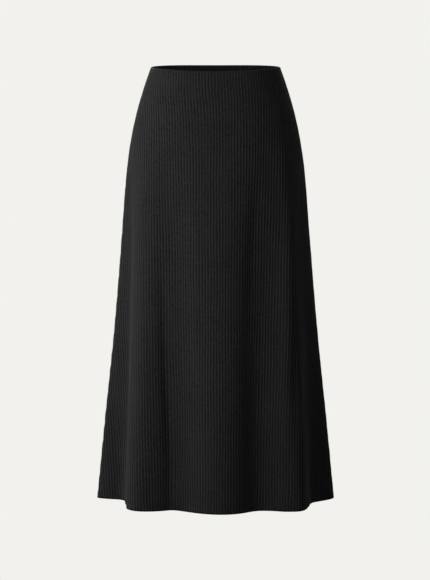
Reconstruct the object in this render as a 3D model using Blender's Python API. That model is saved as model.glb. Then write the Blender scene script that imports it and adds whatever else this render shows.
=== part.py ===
"""A pull-on A-line midi skirt in a fine vertical rib knit, hollow and filled out as if worn.

Metres, +Z up. The origin is the centre of the waist, WAIST_EDGE_UP below the top edge; the front faces -Y.
Two panels, front and back, are joined by a seam at each side, in the plane Y = 0.

Each panel is a wall that is lofted through level sections. A section is a rounded curve with soft folds
pushed out of it, and it is described by its drop, the distance down from the waist edge. A place on a
panel is a rib number, counted from the middle of the panel, and a drop. The ribs run straight down the
cloth at a steady pitch, so the outer ones start on the flared side seams. They are raised in the wall's
outer face; its inner face is plain.
"""

import functools
import math
from collections import namedtuple

import bmesh
import bpy
import numpy as np

NAME = "a_line_midi_skirt"
WAIST_EDGE_UP = 0.020
SEAM_GAP = 0.0003
RIB_HEIGHT = 0.0009
RIM_ROUNDING = 0.0008
RIM_ROUNDING_DROP = 0.003
FOLD_LIFT = 0.038  # how far the hem rises for each metre that a fold pushes it out
MIDDLE_DIP = {"front": 0.0028, "back": 0.0014}  # how much the waist edge sinks towards a panel's middle
MIDDLE_DIP_SPREAD = 0.080
OUTER_POINTS_PER_RIB = 2
SECTION_SAMPLES = 720  # an even number, so that one sample lies in the middle of the panel
SHORTEST_STEP = 0.0015  # a rib that starts nearer than this to a section starts on it
NEAR_SEAM_RIBS = 2  # how many ribs in from the seam the closer points go

# The levels of the wall: the half width at the side seams, the depth of the front and of the back, how
# square the curve is (2 is an ellipse), how far the folds have grown, the rib pitch and the wall.
Section = namedtuple(
    "Section", "drop half_width front_depth back_depth squareness folding rib_pitch wall"
)
SECTIONS = (
    Section(0.000, 0.1198, 0.0860, 0.0860, 2.20, 0.00, 0.00566, 0.0026),
    Section(0.020, 0.1270, 0.0900, 0.0905, 2.12, 0.00, 0.00564, 0.0026),
    Section(0.045, 0.1352, 0.0950, 0.0970, 2.10, 0.00, 0.00562, 0.0018),
    Section(0.080, 0.1454, 0.1020, 0.1080, 2.12, 0.00, 0.00556, 0.0018),
    Section(0.120, 0.1545, 0.1090, 0.1180, 2.16, 0.00, 0.00552, 0.0018),
    Section(0.170, 0.1627, 0.1135, 0.1250, 2.20, 0.08, 0.00548, 0.0018),
    Section(0.230, 0.1686, 0.1160, 0.1280, 2.25, 0.21, 0.00544, 0.0018),
    Section(0.310, 0.1746, 0.1170, 0.1290, 2.28, 0.38, 0.00540, 0.0018),
    Section(0.410, 0.1830, 0.1210, 0.1310, 2.30, 0.52, 0.00540, 0.0018),
    Section(0.520, 0.1936, 0.1260, 0.1340, 2.30, 0.66, 0.00540, 0.0018),
    Section(0.650, 0.2078, 0.1320, 0.1370, 2.30, 0.85, 0.00540, 0.0018),
    Section(0.817, 0.2249, 0.1380, 0.1410, 2.30, 1.00, 0.00540, 0.0022),
)
HEM_DROP = SECTIONS[-1].drop

# The folds of each panel at the hem: where the fold lies along the section from the middle of the panel,
# positive towards +X on the front and -X on the back, how far it spreads, and its height.
Fold = namedtuple("Fold", "at spread height")
FOLDS = {
    "front": (
        Fold(-0.177, 0.013, -0.0030),
        Fold(-0.143, 0.041, 0.0315),
        Fold(-0.082, 0.042, -0.0205),
        Fold(0.012, 0.043, 0.0115),
        Fold(0.082, 0.030, -0.0140),
        Fold(0.141, 0.024, 0.0295),
        Fold(0.174, 0.031, 0.0185),
    ),
    "back": (
        Fold(-0.158, 0.026, 0.0250),
        Fold(-0.102, 0.034, -0.0140),
        Fold(-0.038, 0.040, 0.0150),
        Fold(0.030, 0.034, -0.0120),
        Fold(0.092, 0.038, 0.0165),
        Fold(0.148, 0.026, 0.0200),
    ),
}

# Each side seam stands out past the folds in a narrow fin; SideFin says how far the fin spreads.
FIN_HEIGHT = 0.0515
SideFin = namedtuple("SideFin", "start_spread end_spread")
FINS = {"front": SideFin(0.0160, 0.0340), "back": SideFin(0.0280, 0.0200)}


def smooth_between(knots, values, at):
    """The value at a place between knots, on a smooth curve through the values."""
    slopes = np.gradient(values, knots)
    i = int(np.clip(np.searchsorted(knots, at, "right") - 1, 0, len(knots) - 2))
    span = knots[i + 1] - knots[i]
    t = (at - knots[i]) / span
    leaving = (2 * t**3 - 3 * t**2 + 1) * values[i] + (t**3 - 2 * t**2 + t) * span * slopes[i]
    arriving = (3 * t**2 - 2 * t**3) * values[i + 1] + (t**3 - t**2) * span * slopes[i + 1]
    return leaving + arriving


def size_at(column, drop):
    drops = np.array([section.drop for section in SECTIONS])
    sizes = np.array([getattr(section, column) for section in SECTIONS])
    return float(smooth_between(drops, sizes, drop))


def bump(along, at, spread):
    return np.exp(-(((along - at) / spread) ** 2))


@functools.lru_cache(maxsize=None)
def cross_section(panel, drop):
    """Points and outward directions along a panel from its -X seam (+X on the back) to the other, as
    seen from outside, with the distance of each from the middle of the panel."""
    folding = max(0.0, size_at("folding", drop))
    half_width = size_at("half_width", drop) - FIN_HEIGHT * folding
    depth = size_at(panel + "_depth", drop)
    squareness = size_at("squareness", drop)

    turn = np.linspace(math.pi, 0.0, SECTION_SAMPLES + 1)
    reach = np.abs(np.cos(turn) / half_width) ** squareness + np.abs(np.sin(turn) / depth) ** squareness
    plain = np.stack([np.cos(turn), -np.sin(turn)]) * reach ** (-1 / squareness)
    along = distance_from_middle(plain)

    folds = sum(fold.height * bump(along, fold.at, fold.spread) for fold in FOLDS[panel])
    fins = bump(along, along[0], FINS[panel].start_spread) + bump(along, along[-1], FINS[panel].end_spread)
    pushed = folding * (folds + FIN_HEIGHT * fins)
    curve = plain + outward_of(plain) * pushed

    height = WAIST_EDGE_UP - drop + FOLD_LIFT * folding * folds * drop / HEM_DROP
    height = height - MIDDLE_DIP[panel] * bump(along, 0.0, MIDDLE_DIP_SPREAD) * (1 - drop / HEM_DROP)
    return curve, height, outward_of(curve), distance_from_middle(curve)


def distance_from_middle(curve):
    steps = np.hypot(*np.diff(curve, axis=1))
    travelled = np.concatenate([[0.0], np.cumsum(steps)])
    return travelled - travelled[SECTION_SAMPLES // 2]


def outward_of(curve):
    run = np.gradient(curve, axis=1)
    return np.stack([run[1], -run[0]]) / np.hypot(*run)


@functools.lru_cache(maxsize=None)
def ribs_to_seam(drop):
    """How many ribs lie between the middle of a panel and its side seam; both panels are cut alike."""
    *_, distance = cross_section("front", drop)
    return (distance[-1] - distance[0]) / 2 / size_at("rib_pitch", drop)


def place(panel, rib, drop, outward):
    """The point at a rib number and a drop, moved outward from the middle of the wall."""
    curve, height, facing, distance = cross_section(panel, drop)
    seam = distance[-1] if rib > 0 else -distance[0]
    here = np.clip(rib / ribs_to_seam(drop), -1, 1) * seam
    x = np.interp(here, distance, curve[0] + facing[0] * outward)
    y = np.interp(here, distance, curve[1] + facing[1] * outward)
    y = min(y, -SEAM_GAP / 2)
    side = 1 if panel == "front" else -1
    return side * x, side * y, np.interp(here, distance, height)


def rib_relief(rib):
    """A rib's height above the middle of the wall: highest on a whole number, lowest halfway."""
    off_crest = abs(rib - round(rib))
    return RIB_HEIGHT * (0.5 - 2 * off_crest)


def outer_face(rib, drop):
    rounding = RIM_ROUNDING * max(0.0, 1 - drop / RIM_ROUNDING_DROP)
    return rib_relief(rib) - rounding


def inner_face(rib, drop):
    return -size_at("wall", drop)


def rib_start(rib, levels):
    """The drop at which a rib leaves the side seam, or 0 where it starts at the waist edge."""
    drops = np.linspace(0.0, HEM_DROP, 164)
    start = float(np.interp(abs(rib), [ribs_to_seam(float(drop)) for drop in drops], drops))
    nearest = min(levels, key=lambda level: abs(level - start))
    return nearest if abs(nearest - start) < SHORTEST_STEP else start


def rib_columns(levels, step):
    """The columns of points across one face of a panel, each step of a rib: rib number to the drops of
    its points, from the waist edge or its start on the side seam down to the hem. The first points
    below a start lie level with its neighbours' starts, because a panel bends sharply at the seam."""
    waist_corner = ribs_to_seam(0.0)
    hem_corner = ribs_to_seam(HEM_DROP)
    even = [i * step for i in range(1, int(hem_corner / step) + 1)]
    clear = [rib for rib in even if min(abs(rib - waist_corner), abs(rib - hem_corner)) > step / 3]
    ribs = sorted([0.0] + clear + [waist_corner, hem_corner])
    starts = [0.0 if rib <= waist_corner else rib_start(rib, levels) for rib in ribs[:-1]] + [HEM_DROP]

    columns = {}
    near_seam = round(NEAR_SEAM_RIBS / step)
    for i, rib in enumerate(ribs):
        level_with = starts[i + 1 : i + 1 + near_seam] + levels
        drops = [starts[i]] + sorted({drop for drop in level_with if drop > starts[i]})
        columns[rib] = drops
        columns[-rib] = drops
    return dict(sorted(columns.items()))


def outlines_between(left, right, left_drops, right_drops):
    """The faces between two columns, as outlines that run down the left one and up the right one."""
    shared = [drop for drop in left_drops if drop in right_drops]
    bounds = [-1.0] + shared
    for upper, lower in zip(bounds, bounds[1:]):
        down = [(left, drop) for drop in left_drops if upper <= drop <= lower]
        up = [(right, drop) for drop in reversed(right_drops) if upper <= drop <= lower]
        if len(down + up) > 2:
            yield down + up


def add_sheet(mesh, panel, columns, face, flip):
    """One face of the wall, column by column; returns its points by rib number and drop."""
    points = {}
    for rib, drops in columns.items():
        for drop in drops:
            points[rib, drop] = mesh.verts.new(place(panel, rib, drop, face(rib, drop)))
    ribs = list(columns)
    for left, right in zip(ribs, ribs[1:]):
        for outline in outlines_between(left, right, columns[left], columns[right]):
            corners = [points[key] for key in outline]
            mesh.faces.new(corners[::-1] if flip else corners)
    return points


def panel_edge(columns):
    """The places round the edge of a panel: waist, right seam, hem from right to left, left seam."""
    ribs = list(columns)
    edge = [(rib, 0.0) for rib in ribs if columns[rib][0] == 0.0]
    edge += [(rib, columns[rib][0]) for rib in ribs if rib > 0 and columns[rib][0] > 0.0]
    edge += [(rib, HEM_DROP) for rib in reversed(ribs)]
    edge += [(rib, columns[rib][0]) for rib in ribs if rib < 0 and columns[rib][0] > 0.0]
    return list(dict.fromkeys(edge))


def close_edge(mesh, edge, outer, inner):
    """The thickness of the wall all round, from each inner point to the next."""
    run = [edge[0]]
    for key in edge[1:] + edge[:1]:
        run.append(key)
        if key in inner:
            mesh.faces.new([outer[step] for step in run] + [inner[run[-1]], inner[run[0]]])
            run = [key]


def make_panel(panel, material, collection):
    levels = [0.0, RIM_ROUNDING_DROP] + [section.drop for section in SECTIONS[1:]]
    columns = rib_columns(levels, 1 / OUTER_POINTS_PER_RIB)

    mesh = bmesh.new()
    outer = add_sheet(mesh, panel, columns, outer_face, flip=False)
    inner = add_sheet(mesh, panel, rib_columns(levels, 1.0), inner_face, flip=True)
    close_edge(mesh, panel_edge(columns), outer, inner)
    bmesh.ops.triangulate(mesh, faces=mesh.faces)
    bmesh.ops.recalc_face_normals(mesh, faces=mesh.faces)

    data = bpy.data.meshes.new(panel + "_panel")
    mesh.to_mesh(data)
    mesh.free()
    data.shade_smooth()
    data.set_sharp_from_angle(angle=math.radians(50))
    data.materials.append(material)
    piece = bpy.data.objects.new(panel + "_panel", data)
    collection.objects.link(piece)
    return piece


def rib_knit():
    material = bpy.data.materials.new("black_rib_knit")
    material.use_nodes = True
    shader = material.node_tree.nodes["Principled BSDF"]
    shader.inputs["Base Color"].default_value = (0.012, 0.012, 0.013, 1.0)
    shader.inputs["Roughness"].default_value = 0.85
    shader.inputs["Metallic"].default_value = 0.0
    return material


def main():
    for old in list(bpy.data.objects):
        bpy.data.objects.remove(old)
    collection = bpy.data.collections.new(NAME)
    bpy.context.scene.collection.children.link(collection)
    material = rib_knit()
    for panel in ("front", "back"):
        make_panel(panel, material, collection)


main()
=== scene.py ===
"""The looks of a hollow, worn A-line midi skirt in black rib knit, on a plain pale set.

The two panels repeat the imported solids' own sections and folds, from the same sizes, with a rounded rib,
rolled waist and hem edges, ribs inside as well as outside, drawn-in side seams and soft creases.
Lengths are metres. A place on a panel is a rib number, counted from its middle, and a drop below the
waist edge.
"""

import functools
import math
from collections import namedtuple

import bpy
import numpy as np
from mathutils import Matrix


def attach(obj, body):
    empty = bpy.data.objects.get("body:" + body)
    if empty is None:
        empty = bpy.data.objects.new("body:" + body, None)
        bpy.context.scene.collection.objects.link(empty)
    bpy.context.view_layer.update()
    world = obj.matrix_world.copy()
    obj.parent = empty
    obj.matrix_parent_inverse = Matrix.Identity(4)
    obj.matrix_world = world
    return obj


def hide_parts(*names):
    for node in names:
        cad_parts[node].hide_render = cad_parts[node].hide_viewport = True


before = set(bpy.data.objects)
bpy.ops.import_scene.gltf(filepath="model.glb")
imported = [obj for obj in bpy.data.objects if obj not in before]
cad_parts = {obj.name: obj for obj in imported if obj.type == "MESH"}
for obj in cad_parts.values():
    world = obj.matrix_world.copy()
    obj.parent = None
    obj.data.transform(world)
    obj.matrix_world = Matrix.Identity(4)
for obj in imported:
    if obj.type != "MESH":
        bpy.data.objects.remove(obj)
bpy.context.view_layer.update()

# The skirt's sizes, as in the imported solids, except that the ribs stand a little closer near the waist.
WAIST_EDGE_UP = 0.020
FOLD_LIFT = 0.038
MIDDLE_DIP = {"front": 0.0028, "back": 0.0014}
MIDDLE_DIP_SPREAD = 0.080
SECTION_SAMPLES = 1200

Section = namedtuple(
    "Section", "drop half_width front_depth back_depth squareness folding rib_pitch wall"
)
SECTIONS = (
    Section(0.000, 0.1198, 0.0860, 0.0860, 2.20, 0.00, 0.00540, 0.0026),
    Section(0.020, 0.1270, 0.0900, 0.0905, 2.12, 0.00, 0.00551, 0.0026),
    Section(0.045, 0.1352, 0.0950, 0.0970, 2.10, 0.00, 0.00561, 0.0018),
    Section(0.080, 0.1454, 0.1020, 0.1080, 2.12, 0.00, 0.00556, 0.0018),
    Section(0.120, 0.1545, 0.1090, 0.1180, 2.16, 0.00, 0.00552, 0.0018),
    Section(0.170, 0.1627, 0.1135, 0.1250, 2.20, 0.08, 0.00548, 0.0018),
    Section(0.230, 0.1686, 0.1160, 0.1280, 2.25, 0.21, 0.00544, 0.0018),
    Section(0.310, 0.1746, 0.1170, 0.1290, 2.28, 0.38, 0.00540, 0.0018),
    Section(0.410, 0.1830, 0.1210, 0.1310, 2.30, 0.52, 0.00540, 0.0018),
    Section(0.520, 0.1936, 0.1260, 0.1340, 2.30, 0.66, 0.00540, 0.0018),
    Section(0.650, 0.2078, 0.1320, 0.1370, 2.30, 0.85, 0.00540, 0.0018),
    Section(0.817, 0.2249, 0.1380, 0.1410, 2.30, 1.00, 0.00540, 0.0022),
)
HEM_DROP = SECTIONS[-1].drop

# Folds: the distance from a panel's middle along its section, the spread and the height.
Fold = namedtuple("Fold", "at spread height")
FOLDS = {
    "front": (
        Fold(-0.177, 0.013, -0.0030),
        Fold(-0.143, 0.041, 0.0315),
        Fold(-0.082, 0.042, -0.0205),
        Fold(0.012, 0.043, 0.0115),
        Fold(0.082, 0.030, -0.0140),
        Fold(0.141, 0.024, 0.0295),
        Fold(0.174, 0.031, 0.0185),
    ),
    "back": (
        Fold(-0.158, 0.026, 0.0250),
        Fold(-0.102, 0.034, -0.0140),
        Fold(-0.038, 0.040, 0.0150),
        Fold(0.030, 0.034, -0.0120),
        Fold(0.092, 0.038, 0.0165),
        Fold(0.148, 0.026, 0.0200),
    ),
}
# The fin that flares out at each side seam towards the hem.
FIN_HEIGHT = 0.0515
SideFin = namedtuple("SideFin", "start_spread end_spread")
FINS = {"front": SideFin(0.0160, 0.0340), "back": SideFin(0.0280, 0.0200)}

# The panels' seam edges lap by this much, so that no light passes between them.
SEAM_LAP = 0.00004

# The rows of points, and the rolled edges of the wall, which keep a narrow flat between the two faces.
# No point lies nearer to a seam than the clearance, a share of the distance between points.
POINTS_PER_RIB = 5
SEAM_POINT_CLEARANCE = 0.3
ROW_STEP = 0.0095
RIM_RADIUS = 0.00125
HEM_RADIUS = 0.0010
ROUNDING_ROWS = 4
EDGE_FLAT = 0.00005

# The ribs' full height, and the share of it that is left at the slack hem and at the stretched waist.
RIB_HEIGHT = 0.00133
INSIDE_RIB_HEIGHT = 0.0005
HEM_RIB_SHARE = 0.93
SLACK_FROM_DROP = 0.30
SLACK_OVER_DROP = 0.28
WAIST_RIB_SHARE = 0.50
STRETCHED_TO_DROP = 0.13

# Each rib swells and thins on its way down, with a phase and a rate scattered from one rib to the next.
RIB_UNEVENNESS = 0.22
PHASE_STEP = 12.9898
PHASE_START = 1.7
PHASE_SPAN = 43.7
SWELL_RATE = 23.0
SWELL_RATE_SPREAD = 9.0
SWELL_RATE_STEP = 3.1

# The ribs sway, in ribs, by waves over the drop and from rib to rib, but stay straight at the seams.
RIB_WANDER = 0.075
SwayWave = namedtuple("SwayWave", "by_drop by_rib phase share")
SWAY_WAVES = (SwayWave(21.0, 0.37, 0.0, 1.0), SwayWave(47.0, -0.61, 2.0, 0.6))
SEAM_HOLD_POWER = 8

# Just below the waist the ribs lean to a side, in ribs, and more so left of the middle.
WAIST_LEAN = 0.8
WAIST_LEAN_DROP = 0.060
LEAN_SIDE_SHARE = 0.5
LEAN_SIDE_RIBS = 12.0

# The side seams draw the cloth in beside them, with puckers along their length.
SEAM_DRAW = 0.0003
SEAM_DRAW_REACH = 0.0035
PUCKER_DEPTH = 0.00015
PUCKER_LENGTH = 0.027
PUCKER_SHIFT = 2.1
PUCKER_SHIFT_RATE = 31.0

# Soft creases: rib number, the drops between which it runs, how many ribs it leans over that length,
# its spread in ribs and its height (a trough is negative).
Crease = namedtuple("Crease", "rib top bottom lean spread height")
CREASES = {
    "front": (
        Crease(-20.0, 0.25, 0.85, 3.7, 1.7, -0.0052),
        Crease(-8.5, 0.20, 0.52, 2.4, 2.8, 0.0012),
        Crease(-15.0, 0.03, 0.27, -1.0, 5.5, -0.0016),
        Crease(15.8, 0.10, 0.59, -5.6, 2.2, -0.0024),
        Crease(12.8, 0.40, 0.86, 0.2, 3.2, -0.0024),
        Crease(27.4, 0.34, 0.82, 3.8, 1.9, -0.0032),
        Crease(22.4, 0.02, 0.32, 2.4, 3.4, 0.0028),
        Crease(24.9, 0.22, 0.70, 1.4, 2.2, 0.0032),
        Crease(25.6, 0.50, 0.98, 0.4, 2.4, 0.0018),
        Crease(27.0, 0.12, 0.64, 1.0, 3.6, 0.0019),
        Crease(-29.0, 0.18, 0.72, -2.0, 2.6, -0.0010),
        Crease(-38.0, 0.12, 0.64, -2.0, 3.8, 0.0010),
        Crease(-50.0, 0.42, 1.10, 0.0, 3.0, -0.0028),
        Crease(-17.2, 0.40, 1.06, 0.5, 2.5, -0.0042),
    ),
    "back": (
        Crease(-27.0, 0.26, 0.70, -2.6, 2.2, -0.0024),
        Crease(-20.5, 0.04, 0.33, 1.6, 3.6, 0.0018),
        Crease(-14.0, 0.14, 0.58, 3.8, 2.6, -0.0022),
        Crease(-3.5, 0.30, 0.71, 1.0, 3.2, 0.0012),
        Crease(5.0, 0.08, 0.31, -1.4, 4.8, -0.0015),
        Crease(13.5, 0.34, 0.80, -0.8, 2.9, -0.0020),
        Crease(20.0, 0.16, 0.49, 2.6, 2.1, -0.0024),
        Crease(28.5, 0.22, 0.63, 2.2, 2.7, 0.0015),
    ),
}

# The flat cut: the pitch of the ribs where the knit hangs loose.
PANEL_RELAXED_PITCH = 0.0054
CUT_SAMPLES = 83

# The knit: its stitches, the scales of its fuzz and its uneven colour, the painted shade in its rib
# grooves, and what each adds to the tone.
COURSE_LENGTH = 0.0016
COLUMNS_PER_RIB = 2.0
STITCH_SLANT = 5.0
FUZZ_SCALE = 1400.0
FUZZ_DETAIL = 3.0
CLOUD_SCALE = 34.0
CLOUD_DETAIL = 4.0
MOTTLE_PER_RIB = 1.3
MOTTLE_PER_METRE = 170.0
MOTTLE_DETAIL = 1.0
# Painted shade: this tone paints the rib grooves darker and the crests lighter.
GROOVE_SHADE_TONE = 0.23
STITCH_TONE = 0.06
FUZZ_TONE = 0.20
CLOUD_TONE = 0.22
MOTTLE_TONE = 0.60
# A painted highlight along the turned waist edge, as if it caught a little more light, and painted shade
# along the very edge of the hem.
RIM_HIGHLIGHT_BAND = 0.0035
RIM_HIGHLIGHT_TONE = 0.10
HEM_SHADE_BAND = 0.0040
HEM_SHADE_TONE = -0.60
TONE_ENDS = (0.12, 0.95)
YARN_GREYS = (0.0060, 0.0385)
STITCH_RELIEF = 0.5
FUZZ_RELIEF = 0.6
RELIEF_STRENGTH = 0.55
RELIEF_DEPTH = 0.00022
FINISH = {"Roughness": 0.86, "Specular IOR Level": 0.08, "Sheen Weight": 0.10, "Sheen Roughness": 0.45}

# The set, its soft boxes and the camera. Angles are degrees, and an azimuth is positive to the right.
FLOOR_DROP = 1.10
SET_HALF_SIZE = 60.0
SET_COLOUR = (0.888, 0.880, 0.847)
LIGHT_TARGET = (0.0, 0.0, -0.35)
StudioLight = namedtuple("StudioLight", "name azimuth elevation distance width height power")
LIGHTS = (
    StudioLight("key", -45, 13, 1.4, 0.6, 0.5, 10.2),
    StudioLight("left_side", -90, -6, 2.8, 1.4, 1.2, 28.0),
    StudioLight("left_near", -100, 10, 1.4, 0.6, 0.5, 3.4),
    StudioLight("front_fill", 14, 25, 2.8, 1.4, 1.8, 15.8),
    StudioLight("right_rear", 142, 4, 2.8, 1.4, 1.8, 9.5),
    StudioLight("back_fill", 170, 10, 2.8, 1.4, 1.8, 12.0),
    StudioLight("back_key", -158, 10, 2.8, 1.4, 1.8, 50.0),
    StudioLight("top", 0, 84, 2.8, 1.4, 1.8, 3.0),
)
CAMERA_PLACE = (-0.00105, -5.0, 0.317)
CAMERA_PITCH = 8.142
FOCAL_PIXELS = 2686.9
FRAME_HEIGHT_PIXELS = 580
SENSOR_LONG_SIDE = 36.0


def smooth_between(knots, values, at):
    """The value at a place between knots, on a smooth curve through the values."""
    slopes = np.gradient(values, knots)
    i = int(np.clip(np.searchsorted(knots, at, "right") - 1, 0, len(knots) - 2))
    span = knots[i + 1] - knots[i]
    t = (at - knots[i]) / span
    leaving = (2 * t**3 - 3 * t**2 + 1) * values[i] + (t**3 - 2 * t**2 + t) * span * slopes[i]
    arriving = (3 * t**2 - 2 * t**3) * values[i + 1] + (t**3 - t**2) * span * slopes[i + 1]
    return leaving + arriving


def size_at(column, drop):
    """One of the sections' sizes at a drop."""
    drops = np.array([section.drop for section in SECTIONS])
    sizes = np.array([getattr(section, column) for section in SECTIONS])
    return float(smooth_between(drops, sizes, drop))


def bump(along, at, spread):
    """A soft rise to 1 at a place, gone a few spreads away from it."""
    return np.exp(-(((along - at) / spread) ** 2))


def distance_from_middle(curve):
    """The distance of each point from the middle one, along the curve."""
    steps = np.hypot(*np.diff(curve, axis=1))
    travelled = np.concatenate([[0.0], np.cumsum(steps)])
    return travelled - travelled[SECTION_SAMPLES // 2]


def outward_of(curve):
    """The direction out of the skirt at each point of a section."""
    run = np.gradient(curve, axis=1)
    return np.stack([run[1], -run[0]]) / np.hypot(*run)


@functools.lru_cache(maxsize=None)
def cross_section(panel, drop):
    """Points, height, outward directions and distances from the middle, along a panel's section."""
    folding = max(0.0, size_at("folding", drop))
    half_width = size_at("half_width", drop) - FIN_HEIGHT * folding
    depth = size_at(panel + "_depth", drop)
    squareness = size_at("squareness", drop)

    turn = np.linspace(math.pi, 0.0, SECTION_SAMPLES + 1)
    reach = np.abs(np.cos(turn) / half_width) ** squareness + np.abs(np.sin(turn) / depth) ** squareness
    plain = np.stack([np.cos(turn), -np.sin(turn)]) * reach ** (-1 / squareness)
    along = distance_from_middle(plain)

    folds = sum(fold.height * bump(along, fold.at, fold.spread) for fold in FOLDS[panel])
    fins = bump(along, along[0], FINS[panel].start_spread) + bump(along, along[-1], FINS[panel].end_spread)
    pushed = folding * (folds + FIN_HEIGHT * fins)
    curve = plain + outward_of(plain) * pushed

    height = WAIST_EDGE_UP - drop + FOLD_LIFT * folding * folds * drop / HEM_DROP
    height = height - MIDDLE_DIP[panel] * bump(along, 0.0, MIDDLE_DIP_SPREAD) * (1 - drop / HEM_DROP)
    return curve, height, outward_of(curve), distance_from_middle(curve)


@functools.lru_cache(maxsize=None)
def ribs_to_seam(drop):
    """How many ribs lie between the middle of a panel and its side seam; both panels are cut alike."""
    *_, distance = cross_section("front", drop)
    return (distance[-1] - distance[0]) / 2 / size_at("rib_pitch", drop)


def place_row(panel, ribs, drop, outward):
    """The points at rib numbers along one drop, each moved outward from its place on the section."""
    curve, height, facing, distance = cross_section(panel, drop)
    seam = np.where(ribs > 0, distance[-1], -distance[0])
    swayed = ribs + rib_wander(ribs, drop)
    here = np.clip(swayed / ribs_to_seam(drop), -1, 1) * seam
    x = np.interp(here, distance, curve[0]) + np.interp(here, distance, facing[0]) * outward
    y = np.interp(here, distance, curve[1]) + np.interp(here, distance, facing[1]) * outward
    y = np.minimum(y, SEAM_LAP / 2)
    y[[0, -1]] = SEAM_LAP / 2
    side = 1 if panel == "front" else -1
    return np.stack([side * x, side * y, np.interp(here, distance, height)], axis=1)


def rib_wave(ribs):
    """A rounded rib with a narrow groove: 0.5 on a whole number, -0.5 halfway."""
    return np.abs(np.cos(math.pi * ribs)) - 0.5


def rib_fullness(ribs, drop):
    """The share of the full rib height: less at the stretched waist and the slack hem, and uneven."""
    slack = float(np.clip((drop - SLACK_FROM_DROP) / SLACK_OVER_DROP, 0, 1))
    stretched = float(np.clip(1 - drop / STRETCHED_TO_DROP, 0, 1))
    phase = np.sin(ribs.round() * PHASE_STEP + PHASE_START) * PHASE_SPAN
    rate = SWELL_RATE + SWELL_RATE_SPREAD * np.sin(phase * SWELL_RATE_STEP)
    uneven = 1 + RIB_UNEVENNESS * np.sin(phase + drop * rate)
    flatter = (1 - HEM_RIB_SHARE) * slack + (1 - WAIST_RIB_SHARE) * stretched
    return uneven * (1 - flatter)


def rib_wander(ribs, drop):
    """How far, in ribs, the ribs sway and, below the waist, lean to a side; none at the seams."""
    free = 1 - np.minimum(1.0, np.abs(ribs) / ribs_to_seam(drop)) ** SEAM_HOLD_POWER
    sway = sum(
        wave.share * np.sin(drop * wave.by_drop + ribs * wave.by_rib + wave.phase) for wave in SWAY_WAVES
    )
    lean_side = 1 - LEAN_SIDE_SHARE * np.tanh(ribs / LEAN_SIDE_RIBS)
    lean = math.exp(-((drop / WAIST_LEAN_DROP) ** 2)) * lean_side
    return free * (RIB_WANDER * sway - WAIST_LEAN * lean)


def crease_relief(panel, ribs, drop):
    """The soft creases, each growing from nothing at its top and fading again to its bottom."""
    relief = np.zeros_like(ribs)
    for crease in CREASES[panel]:
        part = (drop - crease.top) / (crease.bottom - crease.top)
        if 0 < part < 1:
            strength = math.sin(math.pi * part) ** 2
            relief += crease.height * strength * bump(ribs, crease.rib + crease.lean * part, crease.spread)
    return relief


def seam_relief(ribs, drop):
    """The side seams draw the cloth in beside them, a little more and less along their length."""
    reach = SEAM_DRAW_REACH / size_at("rib_pitch", drop)
    nearness = np.exp(-(((ribs_to_seam(drop) - np.abs(ribs)) / reach) ** 2))
    shift = PUCKER_SHIFT * math.sin(drop * PUCKER_SHIFT_RATE)
    pucker = math.sin(2 * math.pi * drop / PUCKER_LENGTH + shift)
    return -nearness * (SEAM_DRAW + PUCKER_DEPTH * pucker)


def edge_rounding(drop):
    """How far each face of the wall pulls in towards its middle at the rolled waist and hem edges."""
    for radius, distance in ((RIM_RADIUS, drop), (HEM_RADIUS, HEM_DROP - drop)):
        if distance < radius:
            return radius - math.sqrt(max(0.0, radius**2 - (radius - distance) ** 2)) - EDGE_FLAT
    return 0.0


def rib_share_at_edges(drop):
    """1 along the wall, and less where its rolled edges round the ribs off."""
    return 1 - min(1.0, edge_rounding(drop) / HEM_RADIUS)


def outer_relief(panel, ribs, drop):
    """How far the outer face stands out from the section."""
    shape = RIB_HEIGHT * rib_fullness(ribs, drop) * rib_wave(ribs) * rib_share_at_edges(drop)
    return shape + crease_relief(panel, ribs, drop) + seam_relief(ribs, drop) - edge_rounding(drop)


def inner_relief(panel, ribs, drop):
    """How far the inner face stands out from the section, which is a wall's thickness less."""
    shape = -INSIDE_RIB_HEIGHT * rib_wave(ribs + 0.5) * rib_share_at_edges(drop)
    return shape + crease_relief(panel, ribs, drop) - size_at("wall", drop) + edge_rounding(drop)


def row_drops():
    """The drops of the rows of points: close together round the rolled edges, even between them."""
    turns = [math.pi / 2 * i / ROUNDING_ROWS for i in range(ROUNDING_ROWS + 1)]
    rim = [RIM_RADIUS * (1 - math.cos(turn)) for turn in turns]
    hem = [HEM_DROP - HEM_RADIUS * (1 - math.cos(turn)) for turn in reversed(turns)]
    count = round((hem[0] - rim[-1]) / ROW_STEP)
    even = [rim[-1] + (hem[0] - rim[-1]) * i / count for i in range(1, count)]
    return rim + even + hem


def row_ribs(drop):
    """The rib numbers of a row's points, from seam to seam, and how many lie from the middle to a seam."""
    seam = ribs_to_seam(drop)
    last = int((seam - SEAM_POINT_CLEARANCE / POINTS_PER_RIB) * POINTS_PER_RIB)
    return np.concatenate([[-seam], np.arange(-last, last + 1) / POINTS_PER_RIB, [seam]]), last


def strip_faces(top_start, top_last, bottom_start, bottom_last):
    """The faces between two rows, which may end a few points apart at the seams."""

    def top(k):
        return top_start + 1 + top_last + k

    def bottom(k):
        return bottom_start + 1 + bottom_last + k

    shared = min(top_last, bottom_last)
    faces = [(top(k), bottom(k), bottom(k + 1), top(k + 1)) for k in range(-shared, shared)]
    right = [top(shared)] + [bottom(k) for k in range(shared, bottom_last + 2)]
    right += [top(k) for k in range(top_last + 1, shared, -1)]
    left = [bottom(-shared)] + [top(-k) for k in range(shared, top_last + 2)]
    left += [bottom(-k) for k in range(bottom_last + 1, shared, -1)]
    return faces + [right, left]


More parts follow.
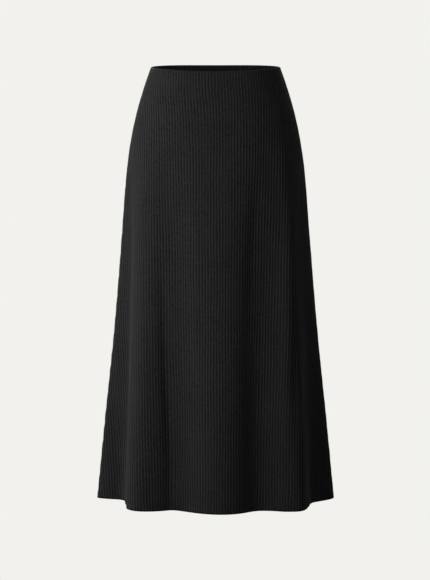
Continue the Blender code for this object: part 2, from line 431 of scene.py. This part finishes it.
def cloth_mesh(panel):
    """Both faces of a panel's wall and the edges between them, with each point's rib number and drop."""
    points, places, faces, rows = [], [], [], []
    start = 0
    for relief in (outer_relief, inner_relief):
        inside = start
        for drop in row_drops():
            ribs, last = row_ribs(drop)
            rows.append((start, last))
            start += len(ribs)
            points.append(place_row(panel, ribs, drop, relief(panel, ribs, drop)))
            places.append(np.stack([ribs, np.full_like(ribs, drop)], axis=1))
    outer_rows = rows[: len(rows) // 2]

    for (top, top_last), (bottom, bottom_last) in zip(outer_rows, outer_rows[1:]):
        strip = strip_faces(top, top_last, bottom, bottom_last)
        faces += strip
        faces += [[inside + i for i in reversed(face)] for face in strip]
        faces.append((bottom, top, inside + top, inside + bottom))
        top_end, bottom_end = top + 2 * top_last + 2, bottom + 2 * bottom_last + 2
        faces.append((top_end, bottom_end, inside + bottom_end, inside + top_end))
    for (first, last), is_waist in ((outer_rows[0], True), (outer_rows[-1], False)):
        for i in range(first, first + 2 * last + 2):
            face = [i, i + 1, inside + i + 1, inside + i]
            faces.append(face if is_waist else face[::-1])
    return np.concatenate(points), np.concatenate(places), faces


def make_panel(panel, material):
    """A panel's shell, with each point's rib number and drop kept for the material."""
    points, places, faces = cloth_mesh(panel)
    mesh = bpy.data.meshes.new(panel + "_cloth")
    mesh.from_pydata(points.tolist(), [], faces)
    mesh.validate()
    place = mesh.attributes.new("cloth_place", "FLOAT_VECTOR", "POINT")
    values = np.zeros((len(points), 3), dtype=np.float32)
    values[:, :2] = places
    place.data.foreach_set("vector", values.ravel())
    mesh.shade_smooth()
    mesh.materials.append(material)
    cloth = bpy.data.objects.new(panel + "_cloth", mesh)
    bpy.context.scene.collection.objects.link(cloth)
    return cloth


def knit_material():
    """Black rib knit: small stitches along the ribs, a slight fuzz and uneven depth of colour, with
    painted shade in the rib grooves, a painted highlight on the waist edge and painted shade on the hem
    edge.
    """
    material = bpy.data.materials.new("black_rib_knit")
    material.use_nodes = True
    nodes, links = material.node_tree.nodes, material.node_tree.links
    shader = nodes["Principled BSDF"]

    def math_node(operation, first, second=None):
        node = nodes.new("ShaderNodeMath")
        node.operation = operation
        for socket, value in zip(node.inputs, (first, second)):
            if isinstance(value, (int, float)):
                socket.default_value = value
            elif value is not None:
                links.new(value, socket)
        return node.outputs[0]

    def noise(at, scale, detail):
        node = nodes.new("ShaderNodeTexNoise")
        node.inputs["Scale"].default_value = scale
        node.inputs["Detail"].default_value = detail
        links.new(at, node.inputs["Vector"])
        return node.outputs["Fac"]

    def edge_band(distance, reach):
        """1 at an edge, falling to 0 at a reach away from it."""
        return math_node("MAXIMUM", math_node("SUBTRACT", 1.0, math_node("DIVIDE", distance, reach)), 0.0)

    place = nodes.new("ShaderNodeAttribute")
    place.attribute_name = "cloth_place"
    split = nodes.new("ShaderNodeSeparateXYZ")
    links.new(place.outputs["Vector"], split.inputs[0])
    rib, drop = split.outputs["X"], split.outputs["Y"]

    # Two columns of V stitches to a rib: the stitch phase slants away from the middle of each column.
    across = math_node("FRACT", math_node("MULTIPLY", rib, COLUMNS_PER_RIB))
    slant = math_node("MULTIPLY", math_node("ABSOLUTE", math_node("SUBTRACT", across, 0.5)), STITCH_SLANT)
    course = math_node("MULTIPLY", drop, 2 * math.pi / COURSE_LENGTH)
    stitch = math_node("SINE", math_node("ADD", course, slant))
    # Painted shade: the rib grooves are painted darker and the crests lighter.
    painted_groove_shade = math_node("COSINE", math_node("MULTIPLY", rib, 2 * math.pi))

    in_space = nodes.new("ShaderNodeTexCoord").outputs["Object"]
    fuzz = noise(in_space, FUZZ_SCALE, FUZZ_DETAIL)
    cloud = noise(in_space, CLOUD_SCALE, CLOUD_DETAIL)

    # Along each rib the yarn is lighter and darker by turns, some four courses at a time.
    along = nodes.new("ShaderNodeCombineXYZ")
    links.new(math_node("MULTIPLY", rib, MOTTLE_PER_RIB), along.inputs["X"])
    links.new(math_node("MULTIPLY", drop, MOTTLE_PER_METRE), along.inputs["Y"])
    mottle = noise(along.outputs[0], 1.0, MOTTLE_DETAIL)

    tone = math_node("MULTIPLY", painted_groove_shade, GROOVE_SHADE_TONE)
    for part, share in (
        (stitch, STITCH_TONE),
        (fuzz, FUZZ_TONE),
        (cloud, CLOUD_TONE),
        (mottle, MOTTLE_TONE),
        # Painted highlight on the waist edge, and painted shade on the hem edge.
        (edge_band(drop, RIM_HIGHLIGHT_BAND), RIM_HIGHLIGHT_TONE),
        (edge_band(math_node("SUBTRACT", HEM_DROP, drop), HEM_SHADE_BAND), HEM_SHADE_TONE),
    ):
        tone = math_node("ADD", tone, math_node("MULTIPLY", part, share))
    ramp = nodes.new("ShaderNodeValToRGB")
    for element, position, grey in zip(ramp.color_ramp.elements, TONE_ENDS, YARN_GREYS):
        element.position = position
        element.color = (grey, grey, grey, 1.0)
    links.new(tone, ramp.inputs["Fac"])
    links.new(ramp.outputs["Color"], shader.inputs["Base Color"])

    raised = math_node("MULTIPLY", stitch, STITCH_RELIEF)
    relief = nodes.new("ShaderNodeBump")
    relief.inputs["Strength"].default_value = RELIEF_STRENGTH
    relief.inputs["Distance"].default_value = RELIEF_DEPTH
    links.new(math_node("ADD", raised, math_node("MULTIPLY", fuzz, FUZZ_RELIEF)), relief.inputs["Height"])
    links.new(relief.outputs["Normal"], shader.inputs["Normal"])

    for socket, value in FINISH.items():
        shader.inputs[socket].default_value = value
    return material


def plain_light_material():
    """The pale set: even, and with no shade of its own."""
    material = bpy.data.materials.new("pale_set")
    material.use_nodes = True
    nodes, links = material.node_tree.nodes, material.node_tree.links
    nodes.clear()
    glow = nodes.new("ShaderNodeEmission")
    glow.inputs["Color"].default_value = (*SET_COLOUR, 1.0)
    out = nodes.new("ShaderNodeOutputMaterial")
    links.new(glow.outputs[0], out.inputs["Surface"])
    return material


def make_floor():
    """The pale floor, which throws no light back onto the skirt."""
    mesh = bpy.data.meshes.new("floor")
    half = SET_HALF_SIZE
    corners = [(-half, -half), (half, -half), (half, half), (-half, half)]
    mesh.from_pydata([(x, y, -FLOOR_DROP) for x, y in corners], [], [(0, 1, 2, 3)])
    mesh.materials.append(plain_light_material())
    floor = bpy.data.objects.new("floor", mesh)
    bpy.context.scene.collection.objects.link(floor)
    floor.visible_diffuse = False
    floor.visible_glossy = False
    return floor


def make_world():
    """The pale background, which throws no light onto the skirt either."""
    world = bpy.data.worlds.new("studio")
    world.use_nodes = True
    background = world.node_tree.nodes["Background"]
    background.inputs["Color"].default_value = (*SET_COLOUR, 1.0)
    background.inputs["Strength"].default_value = 1.0
    world.cycles_visibility.diffuse = False
    world.cycles_visibility.glossy = False
    bpy.context.scene.world = world


def make_light(light):
    """A soft box at an azimuth from the front, aimed at the skirt's middle."""
    data = bpy.data.lights.new(light.name, "AREA")
    data.shape = "RECTANGLE"
    data.size = light.width
    data.size_y = light.height
    data.energy = light.power
    box = bpy.data.objects.new(light.name, data)
    azimuth, elevation = math.radians(light.azimuth), math.radians(light.elevation)
    away = (
        math.sin(azimuth) * math.cos(elevation),
        -math.cos(azimuth) * math.cos(elevation),
        math.sin(elevation),
    )
    box.location = [t + light.distance * a for t, a in zip(LIGHT_TARGET, away)]
    box.rotation_euler = (math.radians(90 - light.elevation), 0.0, math.radians(light.azimuth))
    bpy.context.scene.collection.objects.link(box)


def make_camera():
    """The camera at the photo's angle, level from side to side."""
    data = bpy.data.cameras.new("camera")
    data.sensor_fit = "AUTO"
    data.sensor_width = SENSOR_LONG_SIDE
    data.lens = FOCAL_PIXELS * SENSOR_LONG_SIDE / FRAME_HEIGHT_PIXELS
    camera = bpy.data.objects.new("camera", data)
    camera.location = CAMERA_PLACE
    camera.rotation_euler = (math.radians(90 - CAMERA_PITCH), 0.0, 0.0)
    bpy.context.scene.collection.objects.link(camera)
    bpy.context.scene.camera = camera


def cut_size():
    """The flat cut of a panel: its hem width, its length and its area."""
    drops = np.linspace(0.0, HEM_DROP, CUT_SAMPLES)
    widths = np.array([2 * ribs_to_seam(float(drop)) * PANEL_RELAXED_PITCH for drop in drops])
    area = float(((widths[1:] + widths[:-1]) / 2 * np.diff(drops)).sum())
    return (float(widths[-1]), HEM_DROP), area


def main():
    make_camera()
    make_world()
    make_floor()
    for light in LIGHTS:
        make_light(light)
    bpy.context.scene.view_settings.view_transform = "Standard"

    knit = knit_material()
    flat, area = cut_size()
    for panel in ("front", "back"):
        cloth = make_panel(panel, knit)
        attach(cloth, "root")
        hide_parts(panel + "_panel")


main()
